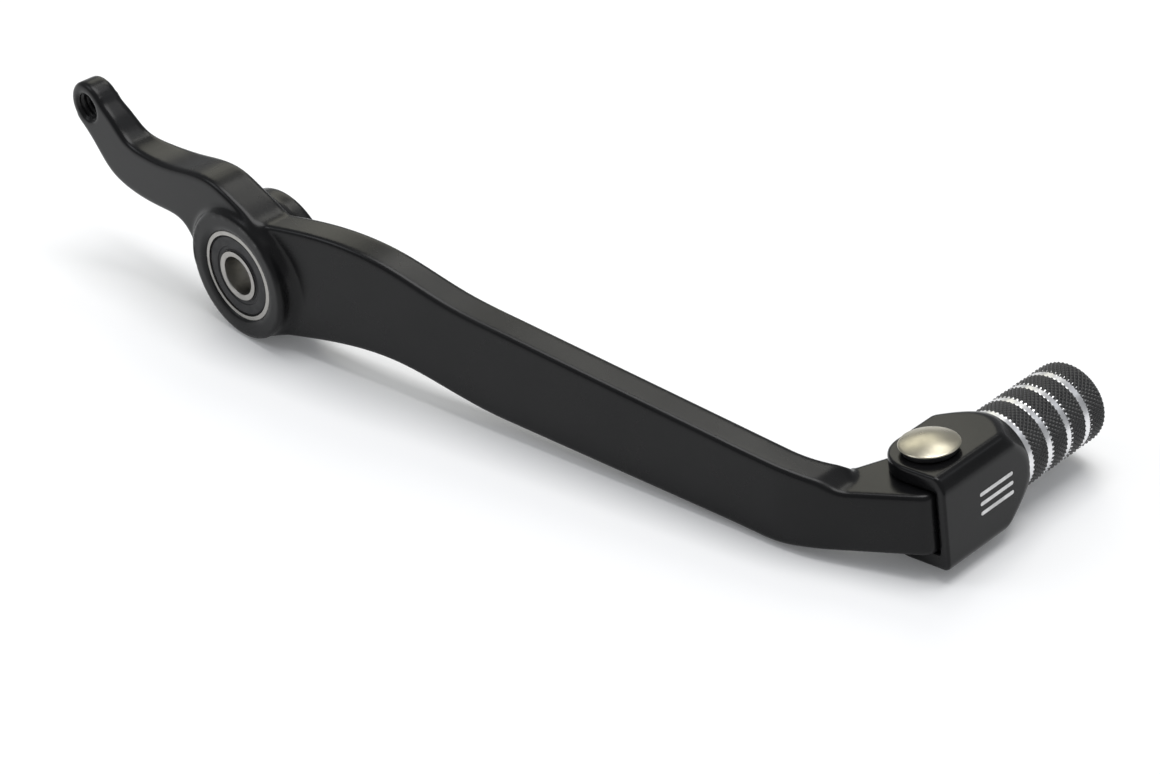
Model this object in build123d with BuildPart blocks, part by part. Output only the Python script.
# Motorcycle gear shift lever: a forged arm on two sealed ball bearings, with a sprung folding toe tip.
# Frame: X forward to the toe, Y outboard along the pivot, Z up, origin at the middle of the pivot bore.
# Lengths are in millimetres.

import os
from math import cos, pi, radians, sin, tan

from build123d import *

os.makedirs("parts", exist_ok=True)

overshoot = 1.0

# --- pivot boss -----------------------------------------------------------------------------------
boss_r = 13.3
boss_half = 7.0
boss_edge = 0.6
seat_recess = 0.5
seat_mouth_r = 10.4
lip_r = 8.75

# --- ball bearings, 8 x 19 x 6, one in each end of the boss ---------------------------------------
bore_r = 4.0
bearing_r = 9.5
bearing_w = 6.0
ball_count = 7
ball_r = 1.5
ball_pitch_r = 6.75
race_gap = 0.05
outer_land_r = 8.0
outer_rebate_r = 8.6
inner_land_r = 5.5
inner_rebate_r = 5.15
rebate_depth = 1.05
seal_t = 0.85
seal_lip_gap = 0.07
ring_chamfer = 0.25
cage_in_r = 6.2
cage_out_r = 7.3
cage_half = 1.85
bearing_y = boss_half - seat_recess - bearing_w / 2
spacer_half = bearing_y - bearing_w / 2
spacer_r = 5.0

# --- front arm ------------------------------------------------------------------------------------
arm_sweep = 11.3
arm_t = 6.5
arm_face_x = 10.0
arm_face_y = -3.7
bend_x = 121.0
arm_end_x = 129.0
arm_edge = 0.8
arm_reach_y = 60.0
blank_half = 30.0

# --- rear arm -------------------------------------------------------------------------------------
rear_face_y = -5.8
eye_x = -46.2
eye_z = 18.6
eye_r = 5.2
eye_t = 5.1
rear_root_t = 8.2
rear_edge = 0.7
eye_thread_r = 2.5
eye_sink = 0.35

# --- folding tip: u forward, v outboard, w along the fold pin -------------------------------------
tip_x = 136.75
tip_y = 38.29
tip_z = -2.98
tip_tilt = 10.8
tongue_high = 5.8
tongue_low = -6.2
tongue_front = 6.4
tongue_angle = 27.0
tongue_near_v = -9.0
lobe_r = 7.4
block_front_u = 8.8
block_high = 9.06
block_low = -9.5
block_end_v = 16.5
slot_high = 6.0
slot_low = -6.4
slot_front_u = 6.75
slot_back_v = 7.6
slot_blank = 12.0
web_chamfer_u = 1.5
web_chamfer_w = 2.1
foot_chamfer = 0.9
turned_end_r = 8.35
turned_blank_r = 13.8
turned_start_v = 6.4

# --- fold pin, its washer and screw ---------------------------------------------------------------
pin_r = 2.5
pin_fit = 0.05
ear_fit = 0.03
head_r = 5.55
head_h = 1.35
head_edge = 0.35
washer_r = 5.05
washer_t = 1.1
washer_edge = 0.3
screw_r = 1.5
screw_head_r = 3.6
screw_head_w = 0.1
screw_socket_r = 1.25
screw_socket_depth = 1.5
screw_top_w = -1.0
screw_sink_r = screw_head_r + 0.15

# --- return spring --------------------------------------------------------------------------------
wire_r = 0.4
coil_r = 3.45
coil_turns = 4.5
coil_pitch = 1.1
coil_low_w = -5.6
pocket_r = 4.2
leg_r = 0.38
leg_overlap = 0.3
leg_low_w = -7.8
leg_high_w = 2.4
leg_hole_r = 0.5
leg_end_gap = 0.5
coil_high_w = coil_low_w + coil_turns * coil_pitch
pocket_top_w = coil_high_w + 1.2 * coil_pitch

# --- toe peg --------------------------------------------------------------------------------------
peg_r = 8.14
band_r = 7.95
band_w = 1.3
band_pitch = 5.6
band_count = 4
peg_u = 0.4
peg_end_v = 39.8
peg_nose = 1.4
stud_r = 3.5
stud_v = 8.8
stud_chamfer = 0.5

tip_plane = Plane(
    origin=(tip_x, tip_y, tip_z),
    x_dir=(cos(radians(tip_tilt)), 0, sin(radians(tip_tilt))),
    z_dir=(-sin(radians(tip_tilt)), 0, cos(radians(tip_tilt))),
)
tip_upright = Plane(origin=tip_plane.origin, x_dir=tip_plane.x_dir, z_dir=(0, -1, 0))
peg_plane = tip_plane.shift_origin(tip_plane.from_local_coords((peg_u, 0, 0)))
peg_side = Plane(origin=peg_plane.origin, x_dir=tip_plane.x_dir, z_dir=(0, -1, 0))
peg_axis = Axis(peg_plane.origin, (0, 1, 0))
pin_axis = Axis(tip_plane.origin, tip_plane.z_dir)
pivot_axis = Axis((0, 0, 0), (0, 1, 0))


def side(y):
    """Plane facing inboard at height y along the pivot, with local x forward and local y up."""
    return Plane.XZ.offset(-y)


def circles_of(part, radius):
    """Circular edges of a part that have the given radius."""
    circles = part.edges().filter_by(GeomType.CIRCLE)
    return circles.filter_by(lambda edge: abs(edge.radius - radius) < 0.01)


def arm_y(x, offset=0.0):
    """Distance outboard of the front arm's inboard face, moved out by a thickness."""
    slope = radians(arm_sweep)
    return arm_face_y + (x - arm_face_x) * tan(slope) + offset / cos(slope)


# --- lever arm: one forging with the rear arm, the boss, the front arm and the tongue --------------
arm_end_y = arm_y(bend_x) + (arm_end_x - bend_x) * tan(radians(tongue_angle))
arm_root_x = -4.0

# Front arm and boss: the side outline is cut to the plan, which is swept outboard and bent at its end.
with BuildPart() as front_arm:
    with BuildSketch(side(arm_reach_y)):
        with BuildLine():
            crown = Spline(
                (0, 13.2),
                (8, 13.7),
                (21, 15.4),
                (34, 14.6),
                (48, 11.1),
                (62, 9.3),
                tangents=((1, 0), (1, -0.11)),
            )
            brow = Line(crown @ 1, (bend_x, 3.0))
            ramp = Line(brow @ 1, (arm_end_x, 1.3))
            end = Line(ramp @ 1, (arm_end_x, -12.3))
            toe = Line(end @ 1, (bend_x + 4, -13.1))
            sole = Line(toe @ 1, (62, -10.1))
            belly = Spline(
                sole @ 1,
                (50, -8.6),
                (37, -6.5),
                (22, -7.8),
                (9, -10.9),
                (0, -13.2),
                tangents=((-1, 0.03), (-1, -0.25)),
            )
            Line(belly @ 1, crown @ 0)
        make_face()
    extrude(amount=arm_reach_y - arm_face_y + boss_half)
    with BuildSketch(Plane.XY.offset(-blank_half)):
        with BuildLine():
            Polyline(
                (arm_root_x, arm_y(arm_root_x)),
                (bend_x, arm_y(bend_x)),
                (arm_end_x, arm_end_y),
                (arm_end_x - 3.5, arm_y(bend_x, arm_t) + 3.5),
                (bend_x - 1.5, arm_y(bend_x - 1.5, arm_t)),
                (arm_root_x, arm_y(arm_root_x, arm_t)),
                close=True,
            )
        make_face()
    extrude(amount=2 * blank_half, mode=Mode.INTERSECT)
    fillet(front_arm.edges().filter_by(lambda edge: edge.length > 20), arm_edge)
    with BuildSketch(side(boss_half)):
        Circle(boss_r)
    extrude(amount=2 * boss_half)

# Rear arm: it rises from the boss, runs level and turns up to the threaded eye, thinning as it goes.
with BuildPart() as rear_arm:
    with BuildSketch(side(blank_half)):
        with BuildLine():
            back = Spline(
                (8.7, 10.2),
                (5, 13.6),
                (-0.7, 16.1),
                (-7, 17.8),
                (-19, 16.0),
                (-29, 14.9),
                (-34.5, 15.9),
                (-38.4, 19.0),
                (eye_x + eye_r * 0.75, eye_z + eye_r * 0.66),
            )
            tip = Line(back @ 1, (eye_x - eye_r * 0.8, eye_z - eye_r * 0.6))
            under = Spline(
                tip @ 1,
                (-46.2, 11.5),
                (-40.4, 6.0),
                (-35, 4.3),
                (-24, 4.3),
                (-17.5, 3.9),
                (-13.2, -2.0),
            )
            Polyline(under @ 1, (0, -8), (8.7, 0), back @ 0)
        make_face()
        with Locations((eye_x, eye_z)):
            Circle(eye_r)
    extrude(amount=2 * blank_half)
    with BuildSketch(Plane.XY.offset(-blank_half)):
        with BuildLine():
            inboard = Line((eye_x - 2 * eye_r, rear_face_y), (boss_r, rear_face_y))
            root = Line(inboard @ 1, (boss_r, rear_face_y + rear_root_t))
            taper = Line(root @ 1, (-10, rear_face_y + rear_root_t))
            outboard = Spline(
                taper @ 1,
                (-27, 1.8),
                (-38, -0.1),
                (eye_x, rear_face_y + eye_t),
                tangents=((-1, 0), (-1, 0)),
            )
            cap = Line(outboard @ 1, (eye_x - 2 * eye_r, rear_face_y + eye_t))
            Line(cap @ 1, inboard @ 0)
        make_face()
    extrude(amount=2 * blank_half, mode=Mode.INTERSECT)
    long_edges = rear_arm.edges().filter_by(lambda edge: edge.length > 14)
    fillet(long_edges.filter_by(lambda edge: edge.center().X < 5), rear_edge)

# Tongue: the flat stub between the ears, rounded about the fold pin so that it clears the web.
with BuildPart() as tongue:
    with BuildSketch(tip_plane.offset(tongue_low)):
        with BuildLine():
            slope = tan(radians(tongue_angle))
            front = Line((tongue_front, tongue_near_v), (tongue_front, 0))
            nose = CenterArc((0, 0), tongue_front, 0, 138)
            shoulder = Line(nose @ 1, (-7.9, -0.75))
            flare = Line(shoulder @ 1, (-10.9, -7.45))
            inner = Line(flare @ 1, (-17, -9.6))
            rear = Line(inner @ 1, (-17, tongue_near_v - (tongue_front + 17) * slope))
            Line(rear @ 1, front @ 0)
        make_face()
    extrude(amount=tongue_high - tongue_low)

with BuildPart() as lever_arm:
    add(front_arm.part)
    add(rear_arm.part)
    add(tongue.part)
    with BuildSketch(Plane.XY):
        with BuildLine():
            Polyline(
                (lip_r, -spacer_half),
                (bearing_r, -spacer_half),
                (bearing_r, -boss_half + seat_recess),
                (seat_mouth_r, -boss_half),
                (0, -boss_half),
                (0, boss_half),
                (seat_mouth_r, boss_half),
                (bearing_r, boss_half - seat_recess),
                (bearing_r, spacer_half),
                (lip_r, spacer_half),
                close=True,
            )
        make_face()
    revolve(axis=pivot_axis, mode=Mode.SUBTRACT)
    boss_rims = circles_of(lever_arm, boss_r)
    chamfer(boss_rims.filter_by(lambda edge: abs(edge.center().Y) > boss_half - boss_edge), boss_edge)
    with BuildSketch(side(rear_face_y + eye_t + overshoot)):
        with Locations((eye_x, eye_z)):
            Circle(eye_thread_r)
    extrude(amount=eye_t + 2 * overshoot, mode=Mode.SUBTRACT)
    chamfer(circles_of(lever_arm, eye_thread_r), eye_sink)
    with BuildSketch(tip_plane.offset(tongue_low - overshoot)):
        Circle(pin_r + pin_fit)
    extrude(amount=tongue_high - tongue_low + 2 * overshoot, mode=Mode.SUBTRACT)
    with BuildSketch(tip_plane.offset(tongue_low - overshoot)):
        Circle(pocket_r)
    extrude(amount=pocket_top_w - tongue_low + overshoot, mode=Mode.SUBTRACT)
    with BuildSketch(tip_plane):
        with Locations((-coil_r, 0)):
            Circle(leg_hole_r)
    extrude(amount=leg_high_w + leg_end_gap, mode=Mode.SUBTRACT)
lever_arm.part.label = "lever_arm"
export_step(lever_arm.part, "parts/lever_arm.step")

# --- ball bearing: rings, balls, cage and two seals, revolved about the pivot ----------------------
def seal(y):
    """Rubber seal ring from y outboard, its lip just clear of the inner ring."""
    with BuildPart() as ring:
        with BuildSketch(side(y + seal_t)):
            Circle(outer_rebate_r)
            Circle(inner_rebate_r + seal_lip_gap, mode=Mode.SUBTRACT)
        extrude(amount=seal_t)
    return ring.part


def bearing(y):
    """The pieces of one bearing centred at y, each under its own name."""
    half = bearing_w / 2
    shoulder = half - rebate_depth
    with BuildPart() as outer_ring:
        with BuildSketch(Plane.XY):
            with BuildLine():
                Polyline(
                    (bearing_r, y - half),
                    (bearing_r, y + half),
                    (outer_rebate_r, y + half),
                    (outer_rebate_r, y + shoulder),
                    (outer_land_r, y + shoulder),
                    (outer_land_r, y - shoulder),
                    (outer_rebate_r, y - shoulder),
                    (outer_rebate_r, y - half),
                    close=True,
                )
            make_face()
            with Locations((ball_pitch_r, y)):
                Circle(ball_r + race_gap, mode=Mode.SUBTRACT)
        revolve(axis=pivot_axis)
        chamfer(circles_of(outer_ring, bearing_r), ring_chamfer)
    with BuildPart() as inner_ring:
        with BuildSketch(Plane.XY):
            with BuildLine():
                Polyline(
                    (bore_r, y - half),
                    (bore_r, y + half),
                    (inner_rebate_r, y + half),
                    (inner_rebate_r, y + shoulder),
                    (inner_land_r, y + shoulder),
                    (inner_land_r, y - shoulder),
                    (inner_rebate_r, y - shoulder),
                    (inner_rebate_r, y - half),
                    close=True,
                )
            make_face()
            with Locations((ball_pitch_r, y)):
                Circle(ball_r + race_gap, mode=Mode.SUBTRACT)
        revolve(axis=pivot_axis)
        chamfer(circles_of(inner_ring, bore_r), ring_chamfer)
    with BuildPart() as balls:
        for i in range(ball_count):
            turn = 2 * pi * i / ball_count
            with Locations((ball_pitch_r * cos(turn), y, ball_pitch_r * sin(turn))):
                Sphere(ball_r)
    with BuildPart() as cage:
        with BuildSketch(side(y + cage_half)):
            Circle(cage_out_r)
            Circle(cage_in_r, mode=Mode.SUBTRACT)
        extrude(amount=2 * cage_half)
        for i in range(ball_count):
            turn = 2 * pi * i / ball_count
            with BuildSketch(Plane(origin=(0, y, 0), x_dir=(0, 1, 0), z_dir=(cos(turn), 0, sin(turn)))):
                Circle(ball_r + race_gap)
            extrude(amount=cage_out_r + overshoot, mode=Mode.SUBTRACT)
    return {
        "outer_ring": outer_ring.part,
        "inner_ring": inner_ring.part,
        "balls": balls.part,
        "cage": cage.part,
        "inboard_seal": seal(y - shoulder - seal_t),
        "outboard_seal": seal(y + shoulder),
    }


for bearing_name, y in (("inboard_bearing_", -bearing_y), ("outboard_bearing_", bearing_y)):
    for piece_name, piece in bearing(y).items():
        piece.label = bearing_name + piece_name
        export_step(piece, "parts/" + piece.label + ".step")

with BuildPart() as bearing_spacer:
    with BuildSketch(side(spacer_half)):
        Circle(spacer_r)
        Circle(bore_r, mode=Mode.SUBTRACT)
    extrude(amount=2 * spacer_half)
bearing_spacer.part.label = "bearing_spacer"
export_step(bearing_spacer.part, "parts/bearing_spacer.step")

# --- tip block: a clevis with two ears and a front web, turned down at its outboard end ------------
with BuildPart() as tip_block:
    with BuildSketch(tip_plane.offset(block_low)):
        with BuildLine():
            near = Line((block_front_u, -lobe_r), (0, -lobe_r))
            lobe = RadiusArc(near @ 1, (-lobe_r, 0), lobe_r)
            Polyline(lobe @ 1, (-lobe_r, block_end_v), (block_front_u, block_end_v), near @ 0)
        make_face()
    extrude(amount=block_high - block_low)
    front_edges = tip_block.edges().filter_by(lambda edge: edge.length > 20 and edge.center().X > tip_x + 4)
    chamfer(front_edges.sort_by(Axis.Z)[-1], web_chamfer_w, web_chamfer_u)
    chamfer(front_edges.sort_by(Axis.Z)[0], foot_chamfer)
    with BuildSketch(peg_plane):
        with BuildLine():
            Polyline(
                (0, -turned_blank_r),
                (turned_blank_r, -turned_blank_r),
                (turned_blank_r, turned_start_v),
                (turned_end_r, block_end_v),
                (0, block_end_v),
                close=True,
            )
        make_face()
    revolve(axis=peg_axis, mode=Mode.INTERSECT)
    with BuildSketch(tip_plane.offset(slot_low)):
        with BuildLine():
            Polyline(
                (-slot_blank, -slot_blank),
                (slot_front_u, -slot_blank),
                (slot_front_u, slot_back_v),
                (-slot_blank, slot_back_v),
                close=True,
            )
        make_face()
    extrude(amount=slot_high - slot_low, mode=Mode.SUBTRACT)
    with BuildSketch(tip_plane.offset(block_low - overshoot)):
        Circle(pin_r + ear_fit)
    extrude(amount=block_high - block_low + 2 * overshoot, mode=Mode.SUBTRACT)
    with BuildSketch(tip_plane.offset(block_low)):
        Circle(screw_sink_r)
    extrude(amount=screw_sink_r - pin_r, taper=45, mode=Mode.SUBTRACT)
    with BuildSketch(tip_plane.offset(leg_low_w - leg_end_gap)):
        with Locations((coil_r, 0)):
            Circle(leg_hole_r)
    extrude(amount=slot_low - leg_low_w + leg_end_gap + overshoot, mode=Mode.SUBTRACT)
    with BuildSketch(peg_side.offset(-block_end_v - overshoot)):
        Circle(stud_r + ear_fit)
    extrude(amount=block_end_v + overshoot - slot_back_v, mode=Mode.SUBTRACT)
tip_block.part.label = "tip_block"
export_step(tip_block.part, "parts/tip_block.step")

# --- fold pin: domed head above the upper ear, tapped from below -----------------------------------
head_low = block_high + washer_t
pin_low = block_low + screw_sink_r - pin_r + 1.0
dome_h = head_h - head_edge
dome_r = -(head_r**2 + dome_h**2) / (2 * dome_h)
with BuildPart() as fold_pin:
    with BuildSketch(tip_upright):
        with BuildLine():
            shank = Polyline(
                (screw_r + ear_fit, pin_low),
                (pin_r, pin_low),
                (pin_r, head_low),
                (head_r - head_edge, head_low),
                (head_r, head_low + head_edge),
            )
            dome = RadiusArc(shank @ 1, (0, head_low + head_h), dome_r)
            Polyline(dome @ 1, (0, 0), (screw_r + ear_fit, 0), shank @ 0)
        make_face()
    revolve(axis=pin_axis)
fold_pin.part.label = "fold_pin"
export_step(fold_pin.part, "parts/fold_pin.step")

with BuildPart() as pin_head_washer:
    with BuildSketch(tip_plane.offset(block_high)):
        Circle(washer_r)
        Circle(pin_r + pin_fit, mode=Mode.SUBTRACT)
    extrude(amount=washer_t)
    fillet(circles_of(pin_head_washer, washer_r), washer_edge)
pin_head_washer.part.label = "pin_head_washer"
export_step(pin_head_washer.part, "parts/pin_head_washer.step")

with BuildPart() as pin_screw:
    with BuildSketch(tip_upright):
        with BuildLine():
            Polyline(
                (0, block_low + screw_head_w),
                (screw_head_r, block_low + screw_head_w),
                (screw_r, block_low + screw_head_w + screw_head_r - screw_r),
                (screw_r, screw_top_w),
                (0, screw_top_w),
                close=True,
            )
        make_face()
    revolve(axis=pin_axis)
    with BuildSketch(tip_plane.offset(block_low + screw_head_w)):
        RegularPolygon(screw_socket_r, 6, major_radius=False)
    extrude(amount=screw_socket_depth, mode=Mode.SUBTRACT)
pin_screw.part.label = "pin_screw"
export_step(pin_screw.part, "parts/pin_screw.step")

# --- return spring: coil round the pin, one leg up into the tongue, one down into the lower ear ----
with BuildPart() as return_spring:
    with BuildLine():
        coil = Helix(
            coil_pitch,
            coil_turns * coil_pitch,
            coil_r,
            center=tip_plane.offset(coil_low_w).origin,
            direction=tip_plane.z_dir,
        )
    with BuildSketch(Plane(origin=coil @ 0, z_dir=coil % 0)):
        Circle(wire_r)
    sweep(is_frenet=True)
    with BuildSketch(Plane(origin=coil @ 0, z_dir=-tip_plane.z_dir).offset(-leg_overlap)):
        Circle(leg_r)
    extrude(amount=coil_low_w - leg_low_w + leg_overlap)
    with BuildSketch(Plane(origin=coil @ 1, z_dir=tip_plane.z_dir).offset(-leg_overlap)):
        Circle(leg_r)
    extrude(amount=leg_high_w - coil_high_w + leg_overlap)
return_spring.part.label = "return_spring"
export_step(return_spring.part, "parts/return_spring.step")

# --- toe peg: threaded stud, then knurled grip with turned bands -----------------------------------
with BuildPart() as toe_peg:
    with BuildSketch(peg_plane):
        with BuildLine():
            knurl = Polyline(
                (0, stud_v),
                (stud_r - stud_chamfer, stud_v),
                (stud_r, stud_v + stud_chamfer),
                (stud_r, block_end_v),
            )
            for i in range(band_count):
                v = block_end_v + i * band_pitch
                knurl_end_v = min(v + band_pitch, peg_end_v - peg_nose)
                knurl = Polyline(
                    knurl @ 1,
                    (band_r, v),
                    (band_r, v + band_w),
                    (peg_r, v + band_w),
                    (peg_r, knurl_end_v),
                )
            nose = RadiusArc(knurl @ 1, (peg_r - peg_nose, peg_end_v), -peg_nose)
            Polyline(nose @ 1, (0, peg_end_v), (0, stud_v))
        make_face()
    revolve(axis=peg_axis)
toe_peg.part.label = "toe_peg"
export_step(toe_peg.part, "parts/toe_peg.step")
